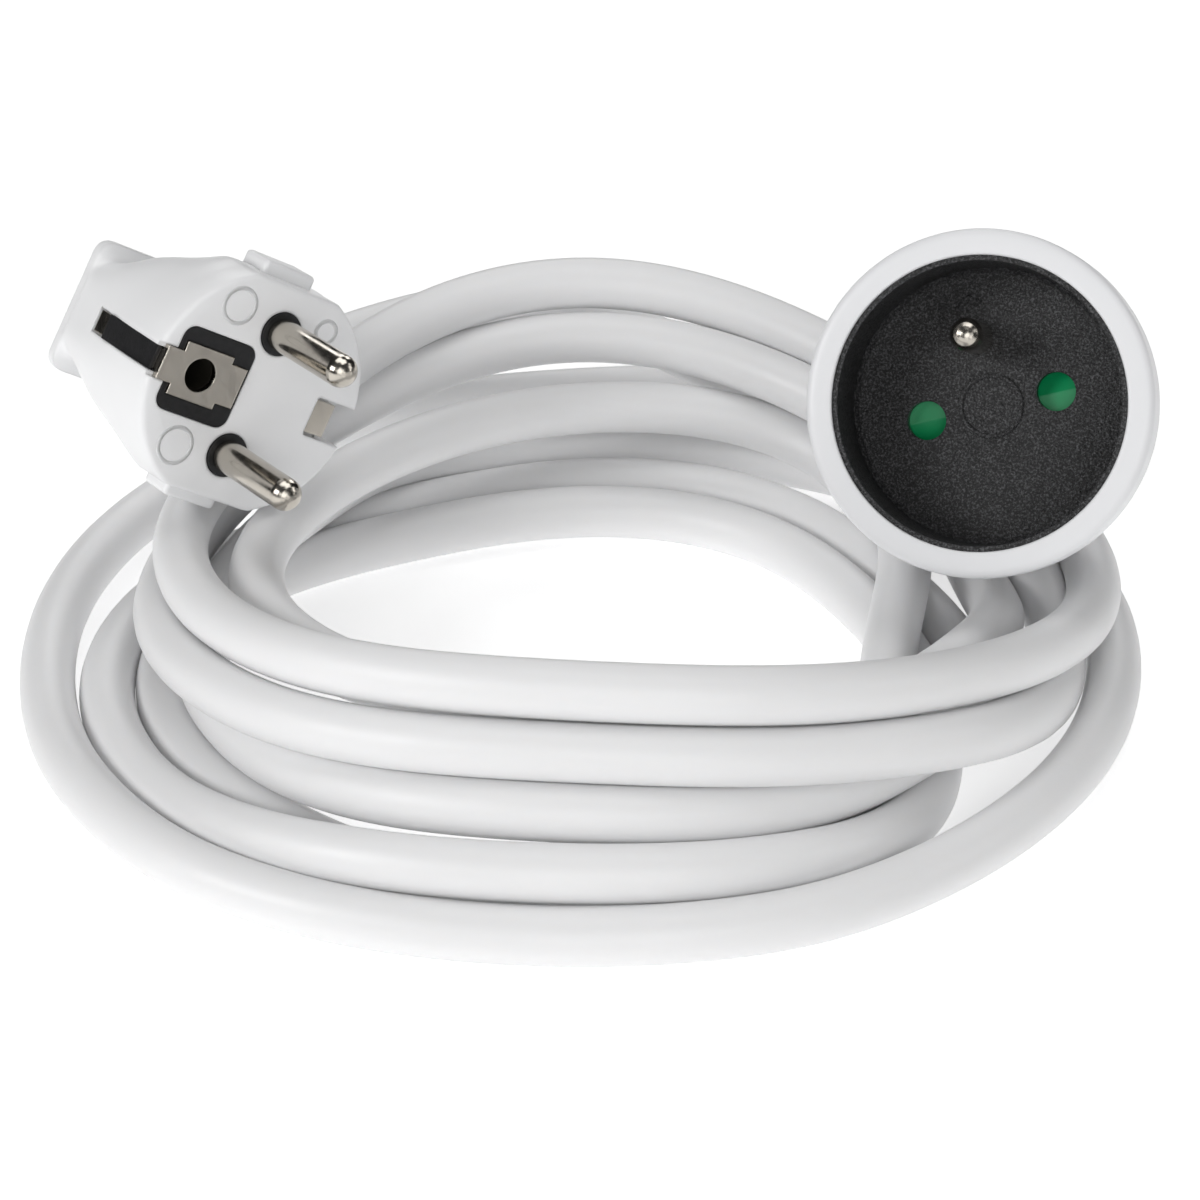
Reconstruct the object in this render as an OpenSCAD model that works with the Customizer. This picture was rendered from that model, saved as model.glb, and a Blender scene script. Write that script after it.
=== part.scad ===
// Household extension cord: an angled earthed plug, 3 m of round white cord laid in a
// coil, and a round trailing socket with an earth pin and safety shutters.
// The coil lies flat on Z = 0 with its middle at the origin. The socket rests on the
// right of the coil and the plug on its left.

/* [Plug] */
// Diameter of the plug's front disc
plug_d = 36; // [35.6:0.1:36.4]
// Width of the front disc across its two flats
plug_flats = 32.8; // [32.4:0.1:33.2]
// Depth of the plug's body behind its face
plug_depth = 31; // [29:0.5:33]
// Thickness of the round front part of the plug
plug_disc_t = 10; // [9:0.5:11]
// Width of the body's narrowest part, in front of the back plate
plug_waist_w = 15.6; // [15:0.2:17]
// Width of the flared back plate
plug_back_w = 20.4; // [19:0.2:22]
// How far the cord's outlet lies behind the plug's face
plug_exit_z = 24; // [23.5:0.5:24.5]

/* [Pins] */
// Diameter of the contact pins
pin_d = 4.8; // [4.7:0.05:4.85]
// Length of the contact pins in front of the face
pin_l = 19; // [18:0.5:19.5]
// Distance between the two contact pins or apertures
pin_pitch = 19; // [18.8:0.1:19.2]
// Distance of the earth contact from the line of the pins
earth_offset = 10; // [9.8:0.1:10.2]

/* [Socket] */
// Outer diameter of the socket's rim
rim_d = 49; // [48:0.5:51]
// Diameter of the recess that takes the plug
recess_d = 40; // [39.6:0.1:40.4]
// Depth of the recess
recess_depth = 15; // [14:0.5:16]
// Depth of the front shell behind the rim
shell_depth = 24; // [23:0.5:25]
// Depth of the whole socket behind the rim, without its strain relief
socket_depth = 37; // [36:0.5:38]
// Diameter of the apertures
aperture_d = 5.6; // [5.4:0.1:6]
// Length of the earth pin in front of the recess floor
earth_pin_l = 13.5; // [12:0.5:14]

/* [Cord] */
// Outer diameter of the cord's sheath
cord_d = 8; // [7.5:0.1:8.2]
// Diameter of each insulated core inside the cord
core_d = 2.4; // [2:0.1:2.6]
// Length of the strain relief at the socket
socket_relief_l = 22; // [20:1:26]
// Length of the strain relief at the plug
plug_relief_l = 24; // [22:1:26]

/* [Coil] */
// Outer radius of the coil where it lies on the floor
coil_outer_r = 84; // [83:1:86]
// Inner radius of the coil
coil_inner_r = 36; // [34:1:38]
// Height of the coil
coil_h = 35; // [32:1:36]

/* [Hidden] */

// Where the socket's rim centre lies, and how the socket is turned
socket_at = [55.2, -8, 47.5];
socket_yaw = -14;
socket_rise = 28;
socket_roll = 19;
// Where the plug's face centre lies, and how the plug is turned
plug_at = [-46.9, 3, 43.2];
plug_yaw = 34;
plug_rise = 4;
plug_roll = 57;

half_pitch = pin_pitch / 2;
pin_r = pin_d / 2;
gap = 0.1;          // play between pieces that sit in one another
slip = 0.05;        // radial play of the turning shutter on its pivot
round_fn = 96;

// Socket: levels along its axis, measured back from the rim
insert_floor_t = 2.2;
insert_wall_t = 1.1;
lip_t = 0.5;
shell_t = 1.9;
shutter_t = 1.8;
floor_back = recess_depth + insert_floor_t;
shutter_top = floor_back + 0.3;
shutter_back = shutter_top + shutter_t;
carrier_top = shutter_back + 0.5;
carrier_t = 6;
carrier_back = carrier_top + carrier_t;
carrier_r = 19.8;
foot_r = 2.1;       // thinner foot of each pin, held in its moulding
insert_r = recess_d / 2 + insert_wall_t;
pivot_r = 1.5;
spring_pocket = 1.8;
sleeve_in_r = pin_r + gap;
sleeve_r = sleeve_in_r + 0.6;
link_t = 1;
link_tail = 6;
crimp_r = 1.9;
crimp_l = 3;
socket_crimp_l = 1.9;
core_top = carrier_back + 1.6 + socket_crimp_l + 1.3;
core_knee = core_top + 1.1;
clamp_t = 2;
clamp_top = socket_depth - 2 - 0.05 - clamp_t;
clamp_x = 7;
clamp_y = 3.2;
sheath_in_r = 3.3;
mouth_r = 1.75;     // from the cord's axis to each core's axis
relief_root_r = 7;
relief_tip_r = 5.2;
plug_relief_r = 6.6;
flange_w = 0.6;

// Plug: levels along its axis, measured back from the face
bridge_t = 4.5;
bridge_back = 7;
collar_r = 3.2;
collar_lift = 0.3;
block_w = 12.6;
block_y = 8.7;
strap_t = 1;
strap_w = 5;
clip_y = 15.7;
clip_l = 19;
clip_w = 3.2;
clip_slot_w = 3.8;
rear_clip_y = 13.2;
rear_clip_l = 12;
slot_w = 6;
rib_w = 9;
rib_reach = 18.4;   // from the plug's middle to the outside of each guide rib
rib_front = 4;
rib_back = 10;
liner_l = 15.5;
strap_lift = 0.35;
pin_foot = bridge_back + 1;
strip_top = bridge_back + 0.05;
sleeve_out_r = 3.2;
sleeve_back = 10.5;
plug_core_top = pin_foot + crimp_l + 1.2;
plug_exit_y = -10;
exit_tilt = 45;     // how far the outlet leans back from the plane of the face
core_join = 8;      // where the cores meet the outlet's axis, before the relief

// Points of the cord between the socket's strain relief and the coil
socket_route = [
    [67.8, 42.7, 19.7], [68.9, 47, 17.4], [69.3, 51.4, 15.1], [68.9, 56.4, 12.6],
    [67.6, 61.2, 10.2], [65.2, 66.2, 8], [61.9, 70.8, 6.2], [57.3, 75.1, 4.9],
    [52, 78.5, 4.3], [45.7, 81, 4.1], [38.9, 82.2, 4.1], [30, 82.5, 4.1],
    [18, 82, 4.1], [6, 81, 4.1]];

// ---------------------------------------------------------------- placing

module socket_place() {
    translate(socket_at)
        rotate([0, 0, socket_yaw])
            rotate([90 - socket_rise, 0, 0])
                rotate([0, 0, socket_roll])
                    children();
}

module plug_place() {
    translate(plug_at)
        rotate([0, 0, plug_yaw])
            rotate([90 - plug_rise, 0, 0])
                rotate([0, 0, plug_roll])
                    children();
}

// A round bar from z = -back to z = -front
module bar(r, front, back, fn = 48) {
    translate([0, 0, -back])
        cylinder(r = r, h = back - front, $fn = fn);
}

// A contact pin with a rounded tip at z = tip, a shoulder, and a thinner foot below it
module round_pin(r, foot, shoulder, tip) {
    rotate_extrude($fn = round_fn)
        polygon(concat(
            [[0, foot], [foot_r, foot], [foot_r, shoulder], [r, shoulder], [r, tip - r]],
            [for (a = [15:15:75]) [r * cos(a), tip - r + r * sin(a)]],
            [[0, tip]]));
}

// A small cross-head screw that stands on z = 0 with its shank down
module cross_screw(head_r, head_h, shank_r, shank_l) {
    difference() {
        union() {
            cylinder(r = head_r, h = head_h, $fn = 32);
            translate([0, 0, -shank_l])
                cylinder(r = shank_r, h = shank_l, $fn = 24);
        }
        for (turn = [0, 90])
            rotate([0, 0, turn])
                translate([-head_r * 0.65, -0.3, head_h - 0.5])
                    cube([head_r * 1.3, 0.6, 1]);
    }
}

// A ribbed, tapered strain relief along +Z, cut by rings of slots
module strain_relief(root_r, tip_r, length, bore_r) {
    rings = 5;
    ring_w = 1.6;
    flange_l = 3;
    pitch = (length - flange_l - 3) / rings;
    difference() {
        rotate_extrude($fn = round_fn)
            polygon([[bore_r, 0], [root_r + flange_w, 0], [root_r + flange_w, flange_l - 0.5],
                [root_r, flange_l], [tip_r, length - 0.8],
                [tip_r - 0.6, length], [bore_r, length]]);
        for (i = [0:rings - 1])
            translate([0, 0, flange_l + 1.2 + i * pitch])
                rotate([0, 0, 90 * (i % 2)])
                    for (side = [-1, 1])
                        translate([side * (bore_r + 0.8 + root_r), 0, ring_w / 2])
                            cube([2 * root_r, 3 * root_r, ring_w], center = true);
    }
}

// ---------------------------------------------------------------- socket

// Front shell: a rounded rim over the insert's edge, and a slightly tapering skirt
module socket_shell() {
    rim_r = rim_d / 2;
    back_r = rim_r - 2.4;
    color("white") socket_place()
        rotate_extrude($fn = round_fn)
            polygon([
                [recess_d / 2 + 0.75, -0.3], [recess_d / 2 + 1.05, 0], [rim_r - 2, 0],
                [rim_r - 0.9, -0.35], [rim_r - 0.25, -1.1], [rim_r, -2.2],
                [rim_r, -9], [rim_r - 0.6, -14], [rim_r - 1.4, -19], [back_r, -shell_depth],
                [back_r - shell_t, -shell_depth], [back_r - shell_t, -shell_depth + 1.5],
                [insert_r + gap, -floor_back - 0.4], [insert_r + gap, -lip_t],
                [recess_d / 2 + 0.75, -lip_t]]);
}

// Rear housing: a cup with a rounded back, a boss for the cord and three screw wells
module socket_housing() {
    front = shell_depth + 0.05;
    r = rim_d / 2 - 2.4;
    color("white") socket_place()
        difference() {
            rotate_extrude($fn = round_fn)
                polygon([
                    [r - shell_t, -front], [r, -front], [r - 0.5, -28], [r - 1.4, -31],
                    [r - 3.2, -33.8], [r - 6, -35.8], [r - 9.5, -36.8],
                    [r - 11, -socket_depth], [cord_d / 2 + gap, -socket_depth],
                    [cord_d / 2 + gap, -socket_depth + 2], [r - 9, -socket_depth + 2],
                    [r - 4.6, -32.4], [r - 2.6, -28.5]]);
            for (turn = [30, 150, 270])
                rotate([0, 0, turn])
                    translate([14.5, 0, 0])
                        bar(2.4, socket_depth - 3, socket_depth + 1, 32);
        }
}

// Black recess cup with its two apertures, the earth pin's hole and a plain raised ring
module recess_insert() {
    in_r = recess_d / 2;
    color([0.1, 0.1, 0.11]) socket_place()
        difference() {
            union() {
                rotate_extrude($fn = round_fn)
                    polygon([
                        [0, -floor_back], [insert_r, -floor_back], [insert_r, -lip_t - 0.05],
                        [in_r, -lip_t - 0.05], [in_r - 0.25, -recess_depth + 0.8],
                        [in_r - 1, -recess_depth], [0, -recess_depth]]);
                rotate_extrude($fn = round_fn)
                    translate([4.1, -recess_depth - 0.2])
                        square([0.5, 0.5]);
                for (side = [-1, 1])
                    translate([side * 0.9, earth_offset + 5.2, -recess_depth + 0.1])
                        rotate([0, 0, side * 50])
                            cube([0.6, 2.4, 0.6], center = true);
            }
            for (side = [-1, 1])
                translate([side * half_pitch, 0, 0])
                    bar(aperture_d / 2, recess_depth - 1, floor_back + 1);
            translate([0, earth_offset, 0])
                bar(foot_r + gap, recess_depth - 1, floor_back + 1);
        }
}

// Earth pin, held in the carrier and standing in the recess
module socket_earth_pin() {
    color("silver") socket_place()
        translate([0, earth_offset, 0])
            union() {
                round_pin(pin_r, -carrier_back, 0.1 - recess_depth,
                    earth_pin_l - recess_depth);
                bar(foot_r + 1.1, carrier_top - 0.2, carrier_top + 1);
            }
}

// Shutter: one turning piece whose two blades cover the apertures together
module safety_shutter() {
    blade_half = 20;
    blade_in_r = 5.6;
    blade_out_r = 13.4;
    color("green") socket_place()
        difference() {
            union() {
                bar(3.6, shutter_top, shutter_back);
                for (turn = [0, 180])
                    rotate([0, 0, turn])
                        translate([0, 0, -shutter_back])
                            linear_extrude(shutter_t)
                                polygon(concat(
                                    [[2, -1.6]],
                                    [for (a = [-blade_half:5:blade_half])
                                        blade_out_r * [cos(a), sin(a)]],
                                    [[2, 1.6]]));
            }
            bar(pivot_r + slip, shutter_top - 1, shutter_back + 1);
            // ramps that turn the shutter when both pins press on it
            for (turn = [0, 180])
                rotate([0, 0, turn])
                    translate([half_pitch, 0, -shutter_top])
                        rotate([-22, 0, 0])
                            translate([-3.2, 0, 0])
                                cube([6.4, 6, 3]);
        }
}

// Pivot post of the shutter, with a foot in the carrier
module shutter_pivot() {
    color("silver") socket_place()
        bar(pivot_r, floor_back + 0.05, carrier_top + 3);
}

// Torsion spring round the pivot: its wound part sits in the carrier, and its raised arm
// bears on one blade's leading edge
module shutter_spring() {
    color("silver") socket_place()
        union() {
            difference() {
                bar(2.8, carrier_top + 0.05, carrier_top + spring_pocket - 0.1);
                bar(2.1, carrier_top - 1, carrier_top + spring_pocket + 1);
            }
            rotate([0, 0, 210])
                translate([2.3, -0.25, -carrier_top - 0.6])
                    cube([3.5, 0.5, 1]);
            rotate([0, 0, 210])
                translate([5.3, -0.25, -carrier_top + 0.1])
                    cube([0.5, 0.5, 1.4]);
        }
}

// Contact carrier: the moulded base that holds the sleeves, the pin and the pivot
module contact_carrier() {
    color([0.25, 0.25, 0.27]) socket_place()
        difference() {
            bar(carrier_r, floor_back + 0.05, carrier_back, round_fn);
            bar(carrier_r - 2.4, floor_back - 1, carrier_top, round_fn);
            for (side = [-1, 1])
                translate([side * half_pitch, 0, 0])
                    bar(sleeve_r + gap, carrier_top - 1, carrier_back + 1);
            translate([0, earth_offset, 0])
                bar(foot_r + gap, carrier_top - 1, carrier_back + 1);
            translate([0, earth_offset, 0])
                bar(foot_r + 1.2, carrier_top - 1, carrier_top + 1.1);
            bar(3, carrier_top - 1, carrier_top + spring_pocket);
            bar(pivot_r + gap, carrier_top - 1, carrier_top + 3.1);
            rotate([0, 0, 210])
                translate([2, -0.5, -carrier_top - 0.7])
                    cube([4.1, 1, 2]);
        }
}

// Spring sleeve that grips a contact pin, with a split and a crimp tail
module contact_sleeve(side) {
    color("gold") socket_place()
        translate([side * half_pitch, 0, 0])
            difference() {
                bar(sleeve_r, carrier_top, carrier_back + 1.5);
                bar(sleeve_in_r, carrier_top - 1, carrier_back + 0.7);
                translate([-0.4, 0, -carrier_back + 2])
                    cube([0.8, 6, carrier_t]);
            }
}

module live_contact() {
    contact_sleeve(-1);
}

module neutral_contact() {
    contact_sleeve(1);
}

// Link plate behind the carrier, from the earth pin to its crimp
module earth_link() {
    color("gold") socket_place()
        translate([-2.6, earth_offset - link_tail, -carrier_back - 0.1 - link_t])
            cube([5.2, link_tail + 3, link_t]);
}

// Crimps between the contacts and the cores
module socket_crimps() {
    color("silver") socket_place() {
        for (side = [-1, 1])
            translate([side * half_pitch, 0, 0])
                bar(crimp_r, carrier_back + 1.55, carrier_back + 1.6 + socket_crimp_l, 32);
        translate([0, earth_offset - link_tail + 2.4, 0])
            bar(crimp_r, carrier_back + 0.15 + link_t, carrier_back + 1.6 + socket_crimp_l, 32);
    }
}

// A straight round wire between two points
module wire(from, to, r) {
    dir = to - from;
    len = norm(dir);
    translate(from)
        rotate([0, acos(dir.z / len), atan2(dir.y, dir.x)])
            cylinder(r = r, h = len, $fn = 24);
}

// A core that runs from its crimp to the cord's axis and out along it
module socket_core(start_xy, mouth_turn) {
    mouth = mouth_r * [cos(mouth_turn), sin(mouth_turn)];
    knee = [mouth.x, mouth.y, -core_knee];
    socket_place()
        union() {
            wire([start_xy.x, start_xy.y, -core_top], knee, core_d / 2);
            translate(knee)
                sphere(r = core_d / 2 + 0.08, $fn = 24);
            wire(knee, [mouth.x, mouth.y, -socket_depth - socket_relief_l], core_d / 2);
        }
}

module socket_live_core() {
    color("saddlebrown") socket_core([0.4 - half_pitch, 0], 210);
}

module socket_neutral_core() {
    color("royalblue") socket_core([half_pitch - 0.4, 0], 330);
}

module socket_earth_core() {
    color("yellowgreen") socket_core([0, earth_offset - link_tail + 2.4], 90);
}

// End of the cord's sheath, from the clamp to the strain relief's tip
module socket_sheath_end() {
    color("white") socket_place()
        difference() {
            bar(cord_d / 2, clamp_top, socket_depth + socket_relief_l);
            bar(sheath_in_r, clamp_top - 1, socket_depth + socket_relief_l + 1);
        }
}

// Clamp bar that grips the cord's end inside the housing
module cord_clamp() {
    color([0.9, 0.9, 0.88]) socket_place()
        difference() {
            translate([-clamp_x - 2.6, -5.6, -clamp_top - clamp_t])
                cube([2 * clamp_x + 5.2, 11.2, clamp_t]);
            bar(cord_d / 2 + 0.05, clamp_top - 1, clamp_top + clamp_t + 1);
            for (side = [-1, 1])
                translate([side * clamp_x, clamp_y, 0])
                    bar(0.9, clamp_top - 1, clamp_top + clamp_t + 1, 24);
        }
}

module clamp_screws() {
    color("silver") socket_place()
        for (side = [-1, 1])
            translate([side * clamp_x, clamp_y, -clamp_top + 0.05])
                cross_screw(1.5, 0.8, 0.8, clamp_t);
}

// Three screws in the wells at the back of the housing
module housing_screws() {
    color("silver") socket_place()
        for (turn = [30, 150, 270])
            rotate([0, 0, turn])
                translate([14.5, 0, -socket_depth + 3])
                    mirror([0, 0, 1])
                        translate([0, 0, 0.05])
                            difference() {
                                cylinder(r = 2.1, h = 1.4, $fn = 32);
                                for (cross = [0, 90])
                                    rotate([0, 0, cross])
                                        translate([-1.3, -0.3, 0.9])
                                            cube([2.6, 0.6, 1]);
                            }
}

module socket_strain_relief() {
    color("white") socket_place()
        translate([0, 0, -socket_depth - 0.05])
            mirror([0, 0, 1])
                strain_relief(relief_root_r, relief_tip_r, socket_relief_l,
                    cord_d / 2 + 0.05);
}

// ---------------------------------------------------------------- plug

// The cord's outlet: its axis runs along +Z, out of the plug
module exit_place() {
    translate([0, plug_exit_y, -plug_exit_z])
        rotate([90 + exit_tilt, 0, 0])
            children();
}

// Outline of the front disc with its two flats
module disc_outline(grow) {
    intersection() {
        circle(r = plug_d / 2 + grow, $fn = 72);
        square([plug_flats + 2 * grow, plug_d + 4], center = true);
    }
}

// Rounded outline of a cross-section behind the front disc
module body_outline(half_w, y_min, y_max, corner) {
    hull()
        for (side = [-1, 1], y = [y_min + corner, y_max - corner])
            translate([side * (half_w - corner), y])
                circle(r = corner, $fn = 32);
}

// A thin slice of an outline at z = -level
module slice(level, t = 0.1) {
    translate([0, 0, -level - t / 2])
        linear_extrude(t)
            children();
}

// White moulding: a disc with two flats, a body that narrows to a waist, and a flared back
// plate, with a guide rib on each flat and grooves for the earth clips
module plug_body() {
    color("white") plug_place()
        difference() {
            union() {
                hull() {
                    slice(0.05) disc_outline(-0.7);
                    slice(0.8) disc_outline(0);
                    slice(plug_disc_t) disc_outline(-0.3);
                    slice(plug_disc_t + 10) body_outline(12.2, -15.6, 16.4, 9);
                    slice(plug_depth - 2.5) body_outline(plug_waist_w / 2, -15, 15.2, 4);
                }
                hull() {
                    slice(plug_depth - 4.3) body_outline(plug_waist_w / 2 - 1, -14, 14, 4);
                    slice(plug_depth - 2) body_outline(plug_back_w / 2, -16, 14.8, 4);
                    slice(plug_depth - 0.6) body_outline(plug_back_w / 2, -16, 14.8, 4);
                    slice(plug_depth - 0.05) body_outline(plug_back_w / 2 - 0.6, -15.4, 14.2, 3.6);
                }
                for (side = [-1, 1])
                    translate([side * (rib_reach - 2), 0, -(rib_front + rib_back) / 2])
                        cube([4, rib_w, rib_back - rib_front], center = true);
            }
            for (side = [-1, 1])
                translate([side * half_pitch, 0, 0])
                    bar(collar_r + gap, -1, bridge_t + 0.1);
            translate([0, block_y, -bridge_t - 0.1])
                linear_extrude(bridge_t + 1)
                    offset(r = 1.9, $fn = 32)
                        square(block_w - 3.6, center = true);
            translate([-half_pitch - 3, -3, -bridge_back - 0.1])
                cube([pin_pitch + 6, 15, bridge_back - bridge_t + 0.2]);
            // sleeve of the earth hole
            translate([0, earth_offset, 0])
                bar(sleeve_out_r + 0.2, 1, sleeve_back + 0.2);
            // slot of the strip that joins the rear clip to the sleeve
            translate([-strap_w / 2 - gap, -rear_clip_y, -strip_top - strap_t - gap])
                cube([strap_w + 2 * gap, rear_clip_y + 2, strap_t + 2 * gap]);
            // pocket of the rear clip's folded end
            translate([-slot_w / 2, -rear_clip_y - 1, -1.6])
                cube([slot_w, 3.6, 3]);
            // grooves of the side clip and of the rear clip
            translate([-clip_slot_w / 2, clip_y - 1.4, -clip_l - 1])
                cube([clip_slot_w, 8, clip_l + 2]);
            translate([-strap_w / 2 - gap, clip_y - 1.4, -strap_t + strap_lift - gap])
                cube([strap_w + 2 * gap, 8, 3]);
            translate([-slot_w / 2, -rear_clip_y - 8.6, -rear_clip_l - 1])
                cube([slot_w, 8.75, rear_clip_l + 2]);
            // room behind the bridge for the crimps and cores
            translate([0, 8, 0])
                rotate([90, 0, 0])
                    linear_extrude(11.5)
                        polygon([
                            [-12.1, -bridge_back], [12.1, -bridge_back], [12.1, -11.8],
                            [9.6, -15], [4.2, -23.4], [-4.2, -23.4],
                            [-9.6, -15], [-12.1, -11.8]]);
            exit_place()
                translate([0, 0, -14])
                    cylinder(r = cord_d / 2 + 0.05, h = 40, $fn = 48);
            // seat of the strain relief
            exit_place()
                translate([0, 0, -0.05])
                    cylinder(r = plug_relief_r + flange_w + 0.1, h = 30, $fn = 48);
        }
}

// Black bridge that carries the pins: collars and the square block in front, one plate behind
module pin_bridge() {
    color([0.08, 0.08, 0.09]) plug_place()
        difference() {
            union() {
                for (side = [-1, 1])
                    translate([side * half_pitch, 0, 0])
                        bar(collar_r, -collar_lift, bridge_t);
                difference() {
                    translate([0, block_y, -bridge_t / 2])
                        linear_extrude(bridge_t, center = true)
                            offset(r = 1.8, $fn = 32)
                                square(block_w - 3.6, center = true);
                    translate([0, 0, strap_lift - strap_t - 0.05])
                        strap_shape(0.1, 2);
                }
                translate([-half_pitch - 2.9, -2.9, -bridge_back])
                    cube([pin_pitch + 5.8, 14.8, bridge_back - bridge_t + 0.01]);
            }
            for (side = [-1, 1])
                translate([side * half_pitch, 0, 0])
                    bar(foot_r + gap, -1, bridge_back + 1);
            translate([-strap_w / 2 - gap, clip_y - gap, -bridge_back - 1])
                cube([strap_w + 2 * gap, 5, bridge_back + 2]);
            translate([0, earth_offset, 0])
                bar(sleeve_out_r + gap, -1, bridge_back + 1);
        }
}

module contact_pin(side) {
    color("silver") plug_place()
        translate([side * half_pitch, 0, 0])
            round_pin(pin_r, -pin_foot, collar_lift + 0.1, pin_l);
}

module live_pin() {
    contact_pin(1);
}

module neutral_pin() {
    contact_pin(-1);
}

// Outline of the strap's front: a plate round the hole, a tongue and a neck to the clip
module strap_shape(grow, t) {
    linear_extrude(t)
        offset(delta = grow)
            union() {
                translate([-4, earth_offset - 4.2])
                    square([8, 8.2]);
                translate([-3, block_y - block_w / 2 + 0.5])
                    square([6, 6]);
                translate([-strap_w / 2, earth_offset])
                    square([strap_w, clip_y + strap_t - earth_offset]);
            }
}

// Earth strap: a metal strip across the block, turned down the side as a spring clip, and
// the rear clip with the strip that joins it to the earth sleeve
module earth_strap() {
    hole_r = 2.5;
    color("silver") plug_place() {
        union() {
            difference() {
                translate([0, 0, strap_lift - strap_t])
                    strap_shape(0, strap_t);
                translate([0, earth_offset, 0])
                    bar(hole_r, -1, 3);
            }
            translate([-clip_w / 2, clip_y, -clip_l])
                cube([clip_w, strap_t, clip_l + strap_lift]);
        }
        union() {
            translate([-strap_w / 2, -rear_clip_y - strap_t, -rear_clip_l])
                cube([strap_w, strap_t, rear_clip_l - 0.4]);
            translate([-strap_w / 2, -rear_clip_y - strap_t, -1.4])
                cube([strap_w, 3.3, 1]);
            translate([-strap_w / 2, -rear_clip_y - strap_t, -strip_top - strap_t])
                cube([strap_w, rear_clip_y + strap_t + earth_offset - sleeve_out_r - 0.1,
                    strap_t]);
        }
    }
}

// Black liner that covers the side clip, all but its sprung end
module clip_liner() {
    color([0.08, 0.08, 0.09]) plug_place()
        translate([-clip_slot_w / 2 + 0.05, clip_y + strap_t + 0.05, -liner_l])
            cube([clip_slot_w - 0.1, 0.6, liner_l - 1.2]);
}

// Spring sleeve behind the earth hole, which grips the socket's earth pin
module earth_sleeve() {
    color("gold") plug_place()
        translate([0, earth_offset, 0])
            difference() {
                bar(sleeve_out_r, 0.7, sleeve_back);
                bar(pin_r + gap, 0, sleeve_back - 0.7);
                translate([-0.4, 0, -sleeve_back + 1.5])
                    cube([0.8, 5, sleeve_back - 3]);
            }
}

module plug_crimps() {
    color("silver") plug_place() {
        for (side = [-1, 1])
            translate([side * half_pitch, 0, 0])
                bar(crimp_r, pin_foot + 0.05, pin_foot + crimp_l, 32);
        translate([0, 5.6, -strip_top - strap_t - 0.05 - crimp_r])
            rotate([90, 0, 0])
                cylinder(r = crimp_r, h = crimp_l + 1, $fn = 32);
    }
}

// A point given in the outlet's own axes
function in_exit(x, y, z) =
    let (turn = 90 + exit_tilt)
    [x, plug_exit_y + y * cos(turn) - z * sin(turn),
        -plug_exit_z + y * sin(turn) + z * cos(turn)];

// A core from its crimp to the outlet's axis, and out along it
module plug_core(start, mouth_turn) {
    mouth = mouth_r * [cos(mouth_turn), sin(mouth_turn)];
    knee = in_exit(mouth.x, mouth.y, -core_join);
    plug_place()
        union() {
            wire(start, knee, core_d / 2);
            translate(knee)
                sphere(r = core_d / 2 + 0.08, $fn = 24);
            wire(knee, in_exit(mouth.x, mouth.y, plug_relief_l), core_d / 2);
        }
}

module plug_live_core() {
    color("saddlebrown") plug_core([half_pitch - 0.8, 0, -plug_core_top], 330);
}

module plug_neutral_core() {
    color("royalblue") plug_core([0.8 - half_pitch, 0, -plug_core_top], 210);
}

module plug_earth_core() {
    color("yellowgreen") plug_core([0, 0.4, -strip_top - strap_t - 2.2], 90);
}

// End of the cord's sheath, from inside the body to the strain relief's tip
module plug_sheath_end() {
    color("white") plug_place() exit_place()
        translate([0, 0, -5])
            difference() {
                cylinder(r = cord_d / 2, h = plug_relief_l + 5, $fn = 48);
                translate([0, 0, -1])
                    cylinder(r = sheath_in_r, h = 60, $fn = 48);
            }
}

module plug_strain_relief() {
    color("white") plug_place() exit_place()
        strain_relief(plug_relief_r, relief_tip_r, plug_relief_l, cord_d / 2 + 0.05);
}

// ---------------------------------------------------------------- cord

// Points of a polygon ring round p, square to the direction d
function ring(p, d, r, sides) =
    let (
        z = d / norm(d),
        x = cross(z, [0, 0, 1]) / norm(cross(z, [0, 0, 1])),
        y = cross(z, x))
    [for (i = [0:sides - 1]) p + r * (cos(360 * i / sides) * x + sin(360 * i / sides) * y)];

// Direction of the route at its point i
function heading(route, i) =
    route[min(i + 1, len(route) - 1)] - route[max(i - 1, 0)];

// A closed tube along the route
module tube(route, r, sides = 12) {
    rings = len(route);
    points = [for (i = [0:rings - 1]) each ring(route[i], heading(route, i), r, sides)];
    walls = [for (i = [0:rings - 2], k = [0:sides - 1])
        let (a = i * sides + k, b = i * sides + (k + 1) % sides)
        [a, b, b + sides, a + sides]];
    first = [[for (k = [sides - 1:-1:0]) k]];
    last = [[for (k = [0:sides - 1]) (rings - 1) * sides + k]];
    polyhedron(points = points, faces = concat(walls, first, last), convexity = 4);
}

module socket_lead() {
    color("white") tube(socket_route, cord_d / 2);
}

// Outer shape of the coil, hollowed where the socket and the plug lie in it
module cord_coil() {
    color("whitesmoke")
        difference() {
            rotate_extrude($fn = round_fn)
                polygon([
                    [coil_inner_r, 0], [coil_outer_r, 0], [coil_outer_r, 8], [76, 16],
                    [67, coil_h], [57, coil_h], [46, 20], [coil_inner_r, 8]]);
            socket_place() {
                bar(rim_d / 2 + 0.3, -14, shell_depth + 4);
                bar(rim_d / 2 - 2, 0, socket_depth + 0.3);
                bar(relief_root_r + 1.3, socket_depth, 90);
            }
            plug_place() {
                bar(plug_d / 2 + 1.2, -1, plug_depth + 0.3);
                exit_place()
                    cylinder(r = relief_root_r + 1, h = plug_relief_l + 1, $fn = 48);
            }
            // channel where the socket's lead joins the outermost turn
            translate([6, 81.1 - cord_d / 2, -1])
                cube([90, 20, cord_d + 1.4]);
        }
}

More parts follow.
